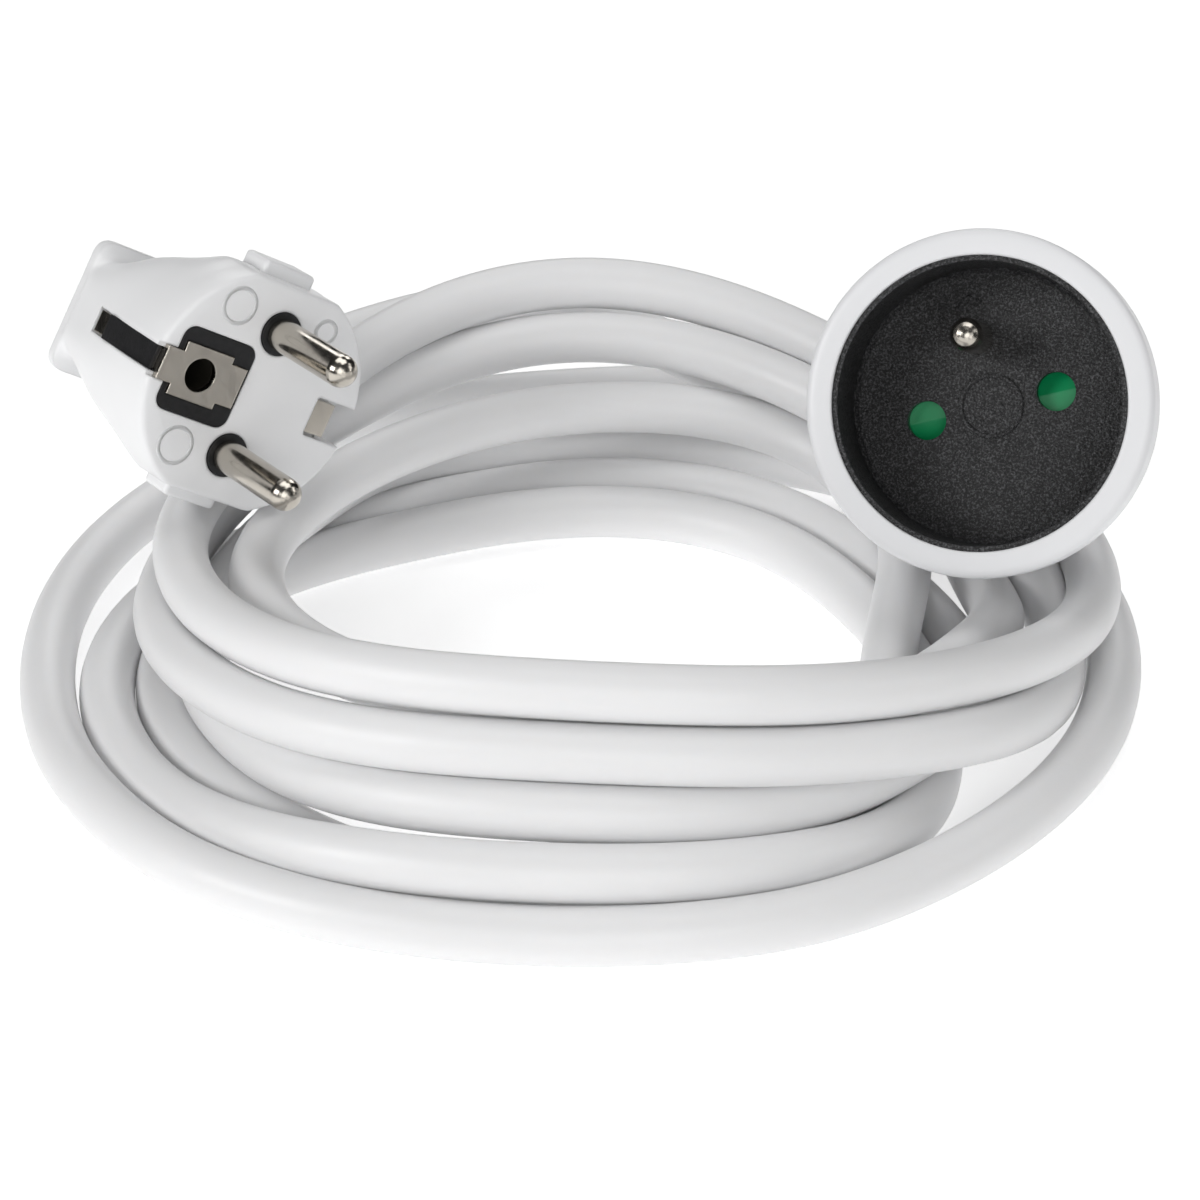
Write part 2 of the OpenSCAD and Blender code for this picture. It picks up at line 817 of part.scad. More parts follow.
socket_shell();
socket_housing();
recess_insert();
socket_earth_pin();
safety_shutter();
shutter_pivot();
shutter_spring();
contact_carrier();
live_contact();
neutral_contact();
earth_link();
socket_crimps();
socket_live_core();
socket_neutral_core();
socket_earth_core();
socket_sheath_end();
cord_clamp();
clamp_screws();
housing_screws();
socket_strain_relief();
plug_body();
pin_bridge();
live_pin();
neutral_pin();
earth_strap();
clip_liner();
earth_sleeve();
plug_crimps();
plug_live_core();
plug_neutral_core();
plug_earth_core();
plug_sheath_end();
plug_strain_relief();
socket_lead();
cord_coil();
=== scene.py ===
"""The look of a white extension cord: a coil of round cord, an angled plug on its left and
a trailing socket on its right. Shapes are drawn in mm in the socket's or the plug's own axes
and put in place in metres, in the CAD's frame."""
import math

import bpy
import numpy as np
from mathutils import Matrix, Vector


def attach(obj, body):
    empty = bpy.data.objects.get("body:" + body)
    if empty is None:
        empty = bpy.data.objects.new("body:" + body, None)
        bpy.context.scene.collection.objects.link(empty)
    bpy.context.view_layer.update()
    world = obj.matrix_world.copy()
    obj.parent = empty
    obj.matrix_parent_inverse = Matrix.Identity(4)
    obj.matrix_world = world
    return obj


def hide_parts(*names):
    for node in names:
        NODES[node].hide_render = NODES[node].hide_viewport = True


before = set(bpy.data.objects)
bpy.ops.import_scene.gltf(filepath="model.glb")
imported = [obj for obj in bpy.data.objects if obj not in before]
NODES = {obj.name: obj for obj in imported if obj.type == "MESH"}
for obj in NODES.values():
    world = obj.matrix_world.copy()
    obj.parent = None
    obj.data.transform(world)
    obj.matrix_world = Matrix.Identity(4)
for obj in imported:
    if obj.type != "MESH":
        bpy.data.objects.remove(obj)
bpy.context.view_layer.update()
BODY = "cord_set"
MM = 0.001

CORD_D = 0.008
CORD_R_MM = 4.0
CORES = 3
CORE_TWIST = 0.052  # the length along the cord in which a core goes once round


# ------------------------------------------------------------------ materials

class Look:
    """A procedural material, built node by node."""

    def __init__(self, name, color, rough, metal=0.0, **inputs):
        self.material = bpy.data.materials.new(name)
        self.material.use_nodes = True
        self.material.diffuse_color = (*color, 1)
        self.tree = self.material.node_tree
        self.shader = self.tree.nodes["Principled BSDF"]
        self.shader.inputs["Base Color"].default_value = (*color, 1)
        self.shader.inputs["Roughness"].default_value = rough
        self.shader.inputs["Metallic"].default_value = metal
        for key, value in inputs.items():
            self.shader.inputs[key.replace("_", " ")].default_value = value
        self.color = color
        self.rough = rough
        self.coords = self.tree.nodes.new("ShaderNodeTexCoord")
        self.normal = None

    def node(self, kind, **inputs):
        made = self.tree.nodes.new(kind)
        for key, value in inputs.items():
            made.inputs[key.replace("_", " ")].default_value = value
        return made

    def link(self, a, b):
        self.tree.links.new(a, b)

    def noise(self, scale, detail, rough=0.55, stretch=None):
        made = self.node("ShaderNodeTexNoise", Scale=scale, Detail=detail, Roughness=rough)
        where = self.coords.outputs["Object"]
        if stretch:
            mapping = self.node("ShaderNodeMapping", Scale=stretch)
            self.link(where, mapping.inputs["Vector"])
            where = mapping.outputs["Vector"]
        self.link(where, made.inputs["Vector"])
        return made.outputs["Fac"]

    def ramp(self, value, low, high, from_low=0.3, from_high=0.7):
        made = self.node("ShaderNodeMapRange")
        made.inputs["From Min"].default_value = from_low
        made.inputs["From Max"].default_value = from_high
        made.inputs["To Min"].default_value = low
        made.inputs["To Max"].default_value = high
        self.link(value, made.inputs["Value"])
        return made.outputs["Result"]

    def shades(self, value, low, high):
        """Colour between low and high times the look's own, by a value from 0 to 1."""
        mix = self.node("ShaderNodeMix")
        mix.data_type = "RGBA"
        mix.inputs["A"].default_value = (*[c * low for c in self.color], 1)
        mix.inputs["B"].default_value = (*[c * high for c in self.color], 1)
        self.link(value, mix.inputs["Factor"])
        self.link(mix.outputs["Result"], self.shader.inputs["Base Color"])
        return self

    def mottle(self, scale, amount, detail=3.0):
        """Slightly lighter and darker areas."""
        value = self.ramp(self.noise(scale, detail), 0, 1)
        return self.shades(value, 1 - amount, 1 + amount)

    def painted_sparkle(self, scale, low, high):
        """Fine light points on a darker ground: painted sparkle, glints of light off the grain
        of spark-eroded plastic put into the colour.
        """
        value = self.ramp(self.noise(scale, 2.0, 0.7), 0, 1, 0.47, 0.72)
        return self.shades(value, low, high)

    def vary_rough(self, scale, amount, stretch=None):
        """Slightly glossier and duller areas."""
        value = self.ramp(self.noise(scale, 4.0, stretch=stretch),
                          self.rough - amount, self.rough + amount)
        self.link(value, self.shader.inputs["Roughness"])
        return self

    def rounded(self, radius):
        """Softens the hard edges of moulded or pressed pieces."""
        bevel = self.node("ShaderNodeBevel", Radius=radius)
        bevel.samples = 4
        self.normal = bevel.outputs["Normal"]
        self.link(self.normal, self.shader.inputs["Normal"])
        return self

    def bump(self, height, strength, distance):
        """Raises the surface by a value, on top of the normals so far."""
        made = self.node("ShaderNodeBump", Strength=strength, Distance=distance)
        self.link(height, made.inputs["Height"])
        if self.normal:
            self.link(self.normal, made.inputs["Normal"])
        self.normal = made.outputs["Normal"]
        self.link(self.normal, self.shader.inputs["Normal"])
        return self

    def grain(self, scale, strength, distance, detail=2.0):
        """A fine uneven surface."""
        return self.bump(self.noise(scale, detail), strength, distance)


def make_cord_look():
    """Soft white PVC: a fine matt grain and the faint twist of the cores below it."""
    look = Look("cord_sheath_look", (0.79, 0.79, 0.795), 0.44, IOR=1.5)
    look.shader.inputs["Subsurface Weight"].default_value = 0.12
    look.shader.inputs["Subsurface Radius"].default_value = (0.004, 0.0035, 0.003)
    look.shader.inputs["Subsurface Scale"].default_value = 0.4
    look.mottle(22, 0.018, 4).vary_rough(160, 0.06)
    # the twist: a wave that runs round with the three cores and along with their pitch
    split = look.node("ShaderNodeSeparateXYZ")
    look.link(look.coords.outputs["UV"], split.inputs[0])
    turns = look.node("ShaderNodeMath")
    turns.operation = "MULTIPLY_ADD"
    turns.inputs[1].default_value = CORES
    look.link(split.outputs["Y"], turns.inputs[0])
    look.link(split.outputs["X"], turns.inputs[2])
    angle = look.node("ShaderNodeMath")
    angle.operation = "MULTIPLY"
    angle.inputs[1].default_value = 2 * math.pi
    look.link(turns.outputs[0], angle.inputs[0])
    wave = look.node("ShaderNodeMath")
    wave.operation = "SINE"
    look.link(angle.outputs[0], wave.inputs[0])
    look.bump(wave.outputs[0], 0.22, 0.00012)
    look.grain(900, 0.1, 0.00008, 3)
    return look.material


# Colour, roughness, metalness, IOR; then the scale and amount of its mottling and of its
# uneven gloss, the radius of its edges, and the scale, strength and depth of its grain
PLAIN_LOOKS = {
    "white_shell": ((0.76, 0.764, 0.778), 0.4, 0, 1.5,
                    (30, 0.012), (220, 0.05), 0.0005, (1400, 0.08, 0.00005)),
    "white_plug": ((0.83, 0.833, 0.84), 0.36, 0, 1.5,
                   (40, 0.015), (240, 0.06), 0.0007, (1500, 0.1, 0.00005)),
    "white_relief": ((0.79, 0.793, 0.802), 0.42, 0, 1.5,
                     (40, 0.015), (240, 0.06), 0.0004, (1500, 0.12, 0.00006)),
    # also dresses the clip liner, where the black is painted shade for the inside of the clip's
    # groove
    "black_bridge_and_liner_shade": ((0.008, 0.008, 0.009), 0.45, 0, 1.4,
                     (900, 0.3), (1500, 0.1), 0.0003, (2400, 0.3, 0.0001)),
    "grey_carrier": ((0.10, 0.10, 0.11), 0.5, 0, 1.5,
                     (300, 0.15), (500, 0.1), 0.0003, (1300, 0.2, 0.00008)),
    "brass": ((0.72, 0.51, 0.2), 0.28, 1, 1.5,
              (150, 0.08), (700, 0.08), 0.0002, (900, 0.08, 0.00004)),
    "steel": ((0.52, 0.52, 0.53), 0.3, 1, 1.5,
              (150, 0.06), (800, 0.08), 0.0002, (1000, 0.08, 0.00004)),
    # the earth sleeve: near-black and matt, painted shade that makes the earth hole look deep
    # and dark
    "shade_black_sleeve": ((0.02, 0.018, 0.014), 0.8, 0, 1.2,
                   (200, 0.2), (700, 0.1), None, (900, 0.1, 0.00004)),
    "brown_core": ((0.14, 0.05, 0.02), 0.42, 0, 1.5,
                   (200, 0.08), (500, 0.08), None, (1500, 0.12, 0.00005)),
    "blue_core": ((0.02, 0.12, 0.42), 0.42, 0, 1.5,
                  (200, 0.08), (500, 0.08), None, (1500, 0.12, 0.00005)),
    "earth_core": ((0.25, 0.42, 0.03), 0.42, 0, 1.5,
                   (200, 0.08), (500, 0.08), None, (1500, 0.12, 0.00005)),
}


def make_looks():
    looks = {"cord_sheath": make_cord_look()}
    for name, row in PLAIN_LOOKS.items():
        color, rough, metal, ior, mottling, gloss, edges, grain = row
        look = Look(name + "_look", color, rough, metal, IOR=ior)
        look.mottle(*mottling).vary_rough(*gloss)
        if edges:
            look.rounded(edges)
        looks[name] = look.grain(*grain).material

    black = Look("black_insert_look", (0.027, 0.0272, 0.0285), 0.38,
                 IOR=1.5, Specular_IOR_Level=0.34)
    # the light points are painted sparkle: glints of light put into the insert's colour
    black.painted_sparkle(3300, 0.32, 4.2).vary_rough(1800, 0.12).rounded(0.0003)
    black.grain(2400, 0.9, 0.0003, 3).grain(5200, 0.5, 0.0001)
    looks["black_insert"] = black.material

    # the shutters glow faintly green: painted light that keeps them bright in their dark holes
    green = Look("green_shutter_look", (0.003, 0.22, 0.08), 0.38, IOR=1.49,
                 Emission_Color=(0.0, 0.3, 0.09, 1), Emission_Strength=0.12)
    green.mottle(300, 0.12).vary_rough(500, 0.08).rounded(0.0003).grain(1200, 0.15, 0.00006)
    looks["green_shutter"] = green.material

    nickel = Look("nickel_look", (0.52, 0.485, 0.43), 0.2, 1.0)
    nickel.mottle(120, 0.05).vary_rough(900, 0.07, stretch=(1, 1, 0.25)).rounded(0.00025)
    nickel.grain(1100, 0.07, 0.00004, 4)
    looks["nickel"] = nickel.material
    return looks


LOOKS = make_looks()


SLOT_OF = {
    "socket_shell": "white_shell", "socket_housing": "white_shell",
    "recess_insert": "black_insert", "socket_earth_pin": "nickel",
    "safety_shutter": "green_shutter", "shutter_pivot": "steel", "shutter_spring": "steel",
    "contact_carrier": "grey_carrier", "live_contact": "brass", "neutral_contact": "brass",
    "earth_link": "brass", "socket_crimps": "steel", "socket_live_core": "brown_core",
    "socket_neutral_core": "blue_core", "socket_earth_core": "earth_core",
    "socket_sheath_end": "cord_sheath", "cord_clamp": "grey_carrier",
    "clamp_screws": "steel", "housing_screws": "steel",
    "socket_strain_relief": "white_relief", "plug_body": "white_plug",
    "pin_bridge": "black_bridge_and_liner_shade", "live_pin": "nickel", "neutral_pin": "nickel",
    # the clip liner is a black sheet in the side clip's groove: painted shade, standing in for
    # the shadow inside it
    "earth_strap": "nickel", "clip_liner": "black_bridge_and_liner_shade", "earth_sleeve": "shade_black_sleeve",
    "plug_crimps": "steel",
    "plug_live_core": "brown_core", "plug_neutral_core": "blue_core",
    "plug_earth_core": "earth_core", "plug_sheath_end": "cord_sheath",
    "plug_strain_relief": "white_relief", "socket_lead": "cord_sheath",
    "cord_coil": "cord_sheath",
}


def paint_cad():
    """Each carried-over CAD node takes the look of its material slot."""
    for name, obj in NODES.items():
        look = LOOKS[SLOT_OF[name]]
        for i in range(len(obj.material_slots)):
            obj.material_slots[i].material = look
        if not obj.material_slots:
            obj.data.materials.append(look)


paint_cad()


# ------------------------------------------------------------------ the cord's path

# Points of the lead between the socket's strain relief and the coil
LEAD = [
    (0.0678, 0.0427, 0.0197), (0.0689, 0.047, 0.0174), (0.0693, 0.0514, 0.0151),
    (0.0689, 0.0564, 0.0126), (0.0676, 0.0612, 0.0102), (0.0652, 0.0662, 0.008),
    (0.0619, 0.0708, 0.0062), (0.0573, 0.0751, 0.0049), (0.052, 0.0785, 0.0043),
    (0.0457, 0.081, 0.0041), (0.0389, 0.0822, 0.0041), (0.03, 0.0825, 0.0041),
    (0.018, 0.082, 0.0041)]
# Each turn's (radius, height) in mm at eight places, counter-clockwise seen from above:
# rear, rear left, left, front left, front, front right, right, rear right
TURNS_MM = [
    [(80, 4), (79, 4), (78, 4), (77, 4), (75.5, 4), (76, 4), (77, 4), (70, 4)],
    [(58, 6), (48, 9), (56, 12), (61, 16), (64, 20), (62, 12), (52, 4), (51, 4)],
    [(50, 6), (49, 4), (66, 4), (70, 8), (68.5, 12), (66, 8), (46, 4), (43, 4)],
    [(40, 4), (46, 4), (61, 4), (67, 4), (67, 4), (60, 4), (46, 11), (63, 14)],
    [(49, 21), (42, 23), (47, 23), (50, 26), (52, 27), (56, 20), (59, 8), (61, 20)],
    [(61, 28), (59, 22), (60, 18), (62, 22), (60.5, 27), (66, 19), (70, 10), (68, 24)],
    [(66, 35), (59, 29), (58, 25), (57, 30), (57, 34.5), (64, 28), (73.5, 16), (71, 7)],
    [(75.5, 25)]]
# Points of the cord's last stretch, up to the tip of the plug's strain relief
TAIL = [
    (-0.008, 0.076, 0.026), (-0.016, 0.0762, 0.0262), (-0.024, 0.0758, 0.0252),
    (-0.0315, 0.0742, 0.0238), (-0.038, 0.071, 0.0222), (-0.0435, 0.0666, 0.0208),
    (-0.0475, 0.061, 0.0206), (-0.0496, 0.0553, 0.0222), (-0.0504, 0.0487, 0.0257)]
PLACES_PER_TURN = 8
POINTS_PER_PLACE = 6

STEP_MM = 4.0  # between the points that settle
TURN_GAP_MM = 8.05  # between the middles of turns that touch
NEIGHBOURS = 6  # points this near along the cord don't push each other
HELD_AT_START, HELD_AT_END = 20, 3  # points at the ends that stay where they are
SETTLE_ROUNDS = 300
SINK_MM = 0.06  # in the first round; less and less after that

# Where the cord leaves the plug's back, and how that outlet leans against the plug's axis
OUTLET_MM = (0, -10, -24)
OUTLET_LEAN = math.radians(135)


def placing(yaw, rise, roll):
    """The turn of a piece that is rolled, raised and swung as in the CAD."""
    a, b, c = (math.radians(v) for v in (yaw, 90 - rise, roll))

    def about_z(v):
        return np.array([[math.cos(v), -math.sin(v), 0], [math.sin(v), math.cos(v), 0],
                         [0, 0, 1]])
    about_x = np.array([[1, 0, 0], [0, math.cos(b), -math.sin(b)],
                        [0, math.sin(b), math.cos(b)]])
    return about_z(a) @ about_x @ about_z(c)


SOCKET_TURN, SOCKET_AT_MM = placing(-14, 28, 19), np.array([55.2, -8, 47.5])
PLUG_TURN, PLUG_AT_MM = placing(34, 4, 57), np.array([-46.9, 3, 43.2])
# Solid parts that the cord goes round: turn, place, start, end, radius at each, in mm
SOLIDS_MM = [
    (SOCKET_TURN, SOCKET_AT_MM, (0, 0, 0), (0, 0, -24), 24.6, 22.1),
    (SOCKET_TURN, SOCKET_AT_MM, (0, 0, -24), (0, 0, -33), 22.1, 18.9),
    (SOCKET_TURN, SOCKET_AT_MM, (0, 0, -33), (0, 0, -37), 18.9, 12),
    (SOCKET_TURN, SOCKET_AT_MM, (0, 0, -37), (0, 0, -59), 8, 5.2),
    (PLUG_TURN, PLUG_AT_MM, (0, 0, 0), (0, 0, -12), 18.2, 18.2),
    (PLUG_TURN, PLUG_AT_MM, (0, 0, -12), (0, 0, -28), 17, 13),
    (PLUG_TURN, PLUG_AT_MM, (0, 0, -28), (0, 0, -31), 15, 15),
    (PLUG_TURN, PLUG_AT_MM, OUTLET_MM, (0, -27, -41), 7.2, 5.2)]


def through(values, t):
    """Catmull-Rom values at the times t, where values[i] is met at time i."""
    values = np.asarray(values, float)
    ends = np.concatenate([[2 * values[0] - values[1]], values, [2 * values[-1] - values[-2]]])
    t = np.asarray(t, float)
    i = np.clip(t.astype(int), 0, len(values) - 2)
    f = (t - i).reshape(-1, *[1] * (values.ndim - 1))
    a, b, c, d = ends[i], ends[i + 1], ends[i + 2], ends[i + 3]
    return 0.5 * (2 * b + (c - a) * f + (2 * a - 5 * b + 4 * c - d) * f ** 2
                  + (3 * b - a - 3 * c + d) * f ** 3)


def evenly(points, step):
    """The same line with points a step apart."""
    fine = through(points, np.linspace(0, len(points) - 1, 12 * len(points)))
    along = np.r_[0, np.cumsum(np.linalg.norm(np.diff(fine, axis=0), axis=1))]
    places = np.linspace(0, along[-1], int(round(along[-1] / step)) + 1)
    return np.stack([np.interp(places, along, fine[:, k]) for k in range(3)], 1)


def wound_path():
    """The laid-out path in mm, before the turns push one another apart."""
    stations = [place for turn in TURNS_MM for place in turn]
    times = np.arange(0, len(stations) - 1 + 1e-6, 1 / POINTS_PER_PLACE)
    wound = through(stations, times)
    angle = math.pi / 2 + times * 2 * math.pi / PLACES_PER_TURN
    coil = np.stack([wound[:, 0] * np.cos(angle), wound[:, 0] * np.sin(angle),
                     np.maximum(CORD_R_MM, wound[:, 1])], 1)
    lead, tail = np.array(LEAD) / MM, np.array(TAIL) / MM
    return evenly(np.vstack([lead, coil, tail]), STEP_MM)


def push_out(points, turn, at, start, end, r_start, r_end):
    """How far each point must move to lie outside a tapering round solid."""
    local = (points - at) @ turn
    start, end = np.array(start, float), np.array(end, float)
    length = np.linalg.norm(end - start)
    axis = (end - start) / length
    along = (local - start) @ axis
    out = local - start - along[:, None] * axis
    away = np.linalg.norm(out, axis=1)
    out /= np.maximum(away, 1e-6)[:, None]
    radius = r_start + (r_end - r_start) * np.clip(along / length, 0, 1)
    to_side = radius + CORD_R_MM - away
    to_start, to_end = along + CORD_R_MM, length + CORD_R_MM - along
    inside = (to_side > 0) & (to_start > 0) & (to_end > 0)
    past = np.where(along < 0, -along, along - length)
    beyond = away - radius
    at_corner = inside & ((along < 0) | (along > length)) & (beyond > 0)
    corner_gap = np.hypot(past, beyond)
    move = np.zeros_like(points)
    plain = inside & ~at_corner
    nearest = np.stack([to_side, to_start, to_end], 1).argmin(1)
    for k, way in enumerate((out * to_side[:, None], -axis * to_start[:, None],
                             axis * to_end[:, None])):
        chosen = plain & (nearest == k)
        move[chosen] = way[chosen]
    close = at_corner & (corner_gap < CORD_R_MM)
    sign = np.where(along < 0, -1, 1)
    way = out * (beyond / np.maximum(corner_gap, 1e-6))[:, None]
    way += axis * (sign * past / np.maximum(corner_gap, 1e-6))[:, None]
    move[close] = (way * (CORD_R_MM - corner_gap)[:, None])[close]
    return move @ turn.T


def smoothed(points, free, weight):
    """One pass of a filter that keeps bends and removes kinks."""
    calm = points.copy()
    calm[3:-3] = (-2 * points[:-6] + 3 * points[1:-5] + 6 * points[2:-4] + 7 * points[3:-3]
                  + 6 * points[4:-2] + 3 * points[5:-1] - 2 * points[6:]) / 21
    return np.where(free, points + weight * (calm - points), points)


def pushed_apart(points, free, apart, spacing):
    """Moves stretches of the cord that are closer than spacing away from each other."""
    square = (points * points).sum(1)
    gap2 = square[:, None] + square[None] - 2 * (points @ points.T)
    i, j = np.nonzero(apart & (gap2 < spacing * spacing))
    if not len(i):
        return points
    between = points[i] - points[j]
    gap = np.sqrt(np.maximum((between ** 2).sum(1), 1e-6))
    half = between * ((spacing - gap) / gap / 2)[:, None]
    push, times = np.zeros_like(points), np.zeros(len(points))
    np.add.at(push, i, half)
    np.add.at(push, j, -half)
    np.add.at(times, i, 1)
    np.add.at(times, j, 1)
    push /= np.maximum(np.sqrt(times), 1)[:, None]
    return np.where(free, points + 0.7 * push, points)


def settle(points):
    """Lets the turns sink, push one another apart and rest on the floor and on each other."""
    wanted = points.copy()
    index = np.arange(len(points))
    apart = np.triu(np.abs(index[:, None] - index[None]) > NEIGHBOURS)
    free = np.ones((len(points), 1), bool)
    free[:HELD_AT_START] = False
    free[-HELD_AT_END:] = False
    for step in range(SETTLE_ROUNDS):
        part = step / SETTLE_ROUNDS
        spacing = TURN_GAP_MM * min(1.0, 0.45 + 0.75 * part)
        # drawn a little towards the laid-out path, and down
        moved = points + (0.02 * (1 - part) + 0.002) * (wanted - points)
        moved[:, 2] -= SINK_MM * (1 - 0.7 * part)
        points = np.where(free, moved, points)
        for _ in range(2):
            points = smoothed(points, free, 0.6)
        # slid along the cord, so that the points stay a step apart
        ahead = np.zeros_like(points)
        ahead[1:-1] = points[2:] - points[:-2]
        ahead /= np.maximum(np.linalg.norm(ahead, axis=1), 1e-9)[:, None]
        middle = np.zeros_like(points)
        middle[1:-1] = (points[2:] + points[:-2]) / 2 - points[1:-1]
        slide = 0.3 * (middle * ahead).sum(1)[:, None] * ahead
        points = np.where(free, points + slide, points)
        for _ in range(3):
            points = pushed_apart(points, free, apart, spacing)
            for solid in SOLIDS_MM:
                points = np.where(free, points + 0.8 * push_out(points, *solid), points)
            points[:, 2] = np.maximum(points[:, 2], CORD_R_MM)
    return points


# ------------------------------------------------------------------ mesh helpers

def new_mesh(name, verts, faces, look, uvs=None, smooth=True):
    mesh = bpy.data.meshes.new(name)
    mesh.from_pydata([tuple(map(float, v)) for v in verts], [], faces)
    mesh.materials.append(look)
    if uvs is not None:
        layer = mesh.uv_layers.new(name="UVMap")
        layer.data.foreach_set("uv", np.asarray(uvs, np.float32).ravel())
    if smooth:
        mesh.shade_smooth()
    obj = bpy.data.objects.new(name, mesh)
    bpy.context.scene.collection.objects.link(obj)
    return obj


def tube(name, path, radius, look, sides=28):
    """A round tube along path, with UVs: X along in core twists, Y round."""
    path = np.asarray(path, float)
    ahead = np.gradient(path, axis=0)
    ahead /= np.linalg.norm(ahead, axis=1)[:, None]
    side = np.cross(ahead[0], (0, 0, 1))
    side /= np.linalg.norm(side)
    carried = []
    for direction in ahead:
        side = side - direction * side.dot(direction)
        side /= np.linalg.norm(side)
        carried.append(side)
    side = np.array(carried)
    up = np.cross(ahead, side)
    turn = np.arange(sides) * 2 * math.pi / sides
    ring = (side[:, None] * np.cos(turn)[None, :, None]
            + up[:, None] * np.sin(turn)[None, :, None])
    verts = (path[:, None] + radius * ring).reshape(-1, 3)
    along = np.r_[0, np.cumsum(np.linalg.norm(np.diff(path, axis=0), axis=1))] / CORE_TWIST
    faces, uvs = [], []
    for i in range(len(path) - 1):
        for k in range(sides):
            n = (k + 1) % sides
            faces.append((i * sides + k, i * sides + n, (i + 1) * sides + n,
                          (i + 1) * sides + k))
            u0, u1, v0, v1 = along[i], along[i + 1], k / sides, (k + 1) / sides
            uvs += [(u0, v0), (u0, v1), (u1, v1), (u1, v0)]
    last = (len(path) - 1) * sides
    faces += [tuple(range(sides))[::-1], tuple(range(last, last + sides))]
    uvs += [(0, 0)] * (2 * sides)
    return new_mesh(name, verts, faces, look, uvs)


def closed_prism(outline, top, bottom):
    """Vertices and faces of an upright prism over an outline."""
    count = len(outline)
    verts = [(x, y, bottom) for x, y in outline] + [(x, y, top) for x, y in outline]
    faces = [tuple(range(count))[::-1], tuple(range(count, 2 * count))]
    faces += [(k, (k + 1) % count, count + (k + 1) % count, count + k) for k in range(count)]
    return np.array(verts, float), faces


def circle(x, y, r, count=64):
    """Outline of a circle."""
    turn = np.arange(count) * 2 * math.pi / count
    return [(x + r * math.cos(a), y + r * math.sin(a)) for a in turn]


def rounded_box(x0, x1, y0, y1, corner, steps=8):
    """Outline of a rectangle with rounded corners."""
    outline = []
    for cx, cy, start in ((x1 - corner, y1 - corner, 0), (x0 + corner, y1 - corner, 1),
                          (x0 + corner, y0 + corner, 2), (x1 - corner, y0 + corner, 3)):
        for k in range(steps + 1):
            a = math.pi / 2 * (start + k / steps)
            outline.append((cx + corner * math.cos(a), cy + corner * math.sin(a)))
    return outline


def box_outline(x0, x1, y0, y1):
    """Outline of a rectangle."""
    return [(x0, y0), (x1, y0), (x1, y1), (x0, y1)]


def reach(outline, turns):
    """How far an outline lies from the middle in each direction."""
    dense = []
    for k, (x, y) in enumerate(outline):
        nx, ny = outline[(k + 1) % len(outline)]
        dense += [(x + (nx - x) * f, y + (ny - y) * f) for f in np.linspace(0, 1, 24)[:-1]]
    dense = np.array(dense)
    angle = np.mod(np.arctan2(dense[:, 1], dense[:, 0]), 2 * math.pi)
    order = np.argsort(angle)
    return np.interp(turns, angle[order], np.hypot(*dense.T)[order], period=2 * math.pi)


def disc_reach(turns, grow):
    """The plug's front disc: round, with two flats."""
    return np.minimum(18 + grow, (16.4 + grow) / np.maximum(np.abs(np.cos(turns)), 1e-6))


def plug_loft(sides=144):
    """The plug's moulding without its openings: disc, narrowing body and back plate."""
    turns = np.arange(sides) * 2 * math.pi / sides
    levels = [(0, disc_reach(turns, -0.75)), (0.12, disc_reach(turns, -0.38)),
              (0.4, disc_reach(turns, -0.1)), (0.85, disc_reach(turns, 0)),
              (4, disc_reach(turns, 0))]
    keys = [disc_reach(turns, 0), disc_reach(turns, -0.3),
            reach(rounded_box(-12.2, 12.2, -15.6, 16.4, 9), turns),
            reach(rounded_box(-7.8, 7.8, -15, 15.2, 4), turns)]
    at = [4, 10, 20, 27.8]
    for t in np.linspace(0, 3, 40)[1:]:
        levels.append((through(at, [t])[0], through(keys, [t])[0]))
    plate = reach(rounded_box(-10.2, 10.2, -16, 14.8, 2.2), turns)
    waist = keys[-1]
    for f in (0.12, 0.35, 0.65, 0.88, 1.0):
        levels.append((27.8 + 1.3 * f ** 0.8, waist + (plate - waist) * f * f))
    levels += [(30.5, plate), (30.8, plate - 0.1), (30.95, plate - 0.3), (31, plate - 0.6)]
    verts, faces = [], []
    for depth, out in levels:
        verts += list(zip(out * np.cos(turns), out * np.sin(turns), [-depth] * sides))
    for i in range(len(levels) - 1):
        for k in range(sides):
            n = (k + 1) % sides
            faces.append((i * sides + k, (i + 1) * sides + k, (i + 1) * sides + n,
                          i * sides + n))
    faces.append(tuple(range(sides)))
    last = (len(levels) - 1) * sides
    faces.append(tuple(range(last, last + sides))[::-1])
    return np.array(verts), faces


def in_place(points, turn, at):
    """From the plug's or socket's own axes in mm to the frame in metres."""
    return (np.asarray(points) @ turn.T + at) * MM


def cut(obj, cutters):
    """Cuts the cutters' shapes out of obj, and removes them."""
    for cutter in cutters:
        step = obj.modifiers.new("cut", "BOOLEAN")
        step.operation = "DIFFERENCE"
        step.solver = "EXACT"
        step.object = cutter
    bpy.context.view_layer.update()
    graph = bpy.context.evaluated_depsgraph_get()
    made = bpy.data.meshes.new_from_object(obj.evaluated_get(graph))
    obj.modifiers.clear()
    obj.data = made
    for cutter in cutters:
        bpy.data.objects.remove(cutter)


def soften(obj, width, angle=32, segments=2):
    """Rounds the piece's edges and shades it smooth between them."""
    step = obj.modifiers.new("edges", "BEVEL")
    step.width = width
    step.segments = segments
    step.limit_method = "ANGLE"
    step.angle_limit = math.radians(angle)
    obj.data.shade_smooth()
    obj.data.set_sharp_from_angle(angle=math.radians(angle + 6))


def prism_cutter(outline, top, bottom, look, turn, at):
    """A prism that cuts a pocket into the plug or the socket."""
    verts, faces = closed_prism(outline, top, bottom)
    return new_mesh("cutter", in_place(verts, turn, at), faces, LOOKS[look], smooth=False)


def plug_cutter(outline, top, bottom):
    return prism_cutter(outline, top, bottom, "white_plug", PLUG_TURN, PLUG_AT_MM)


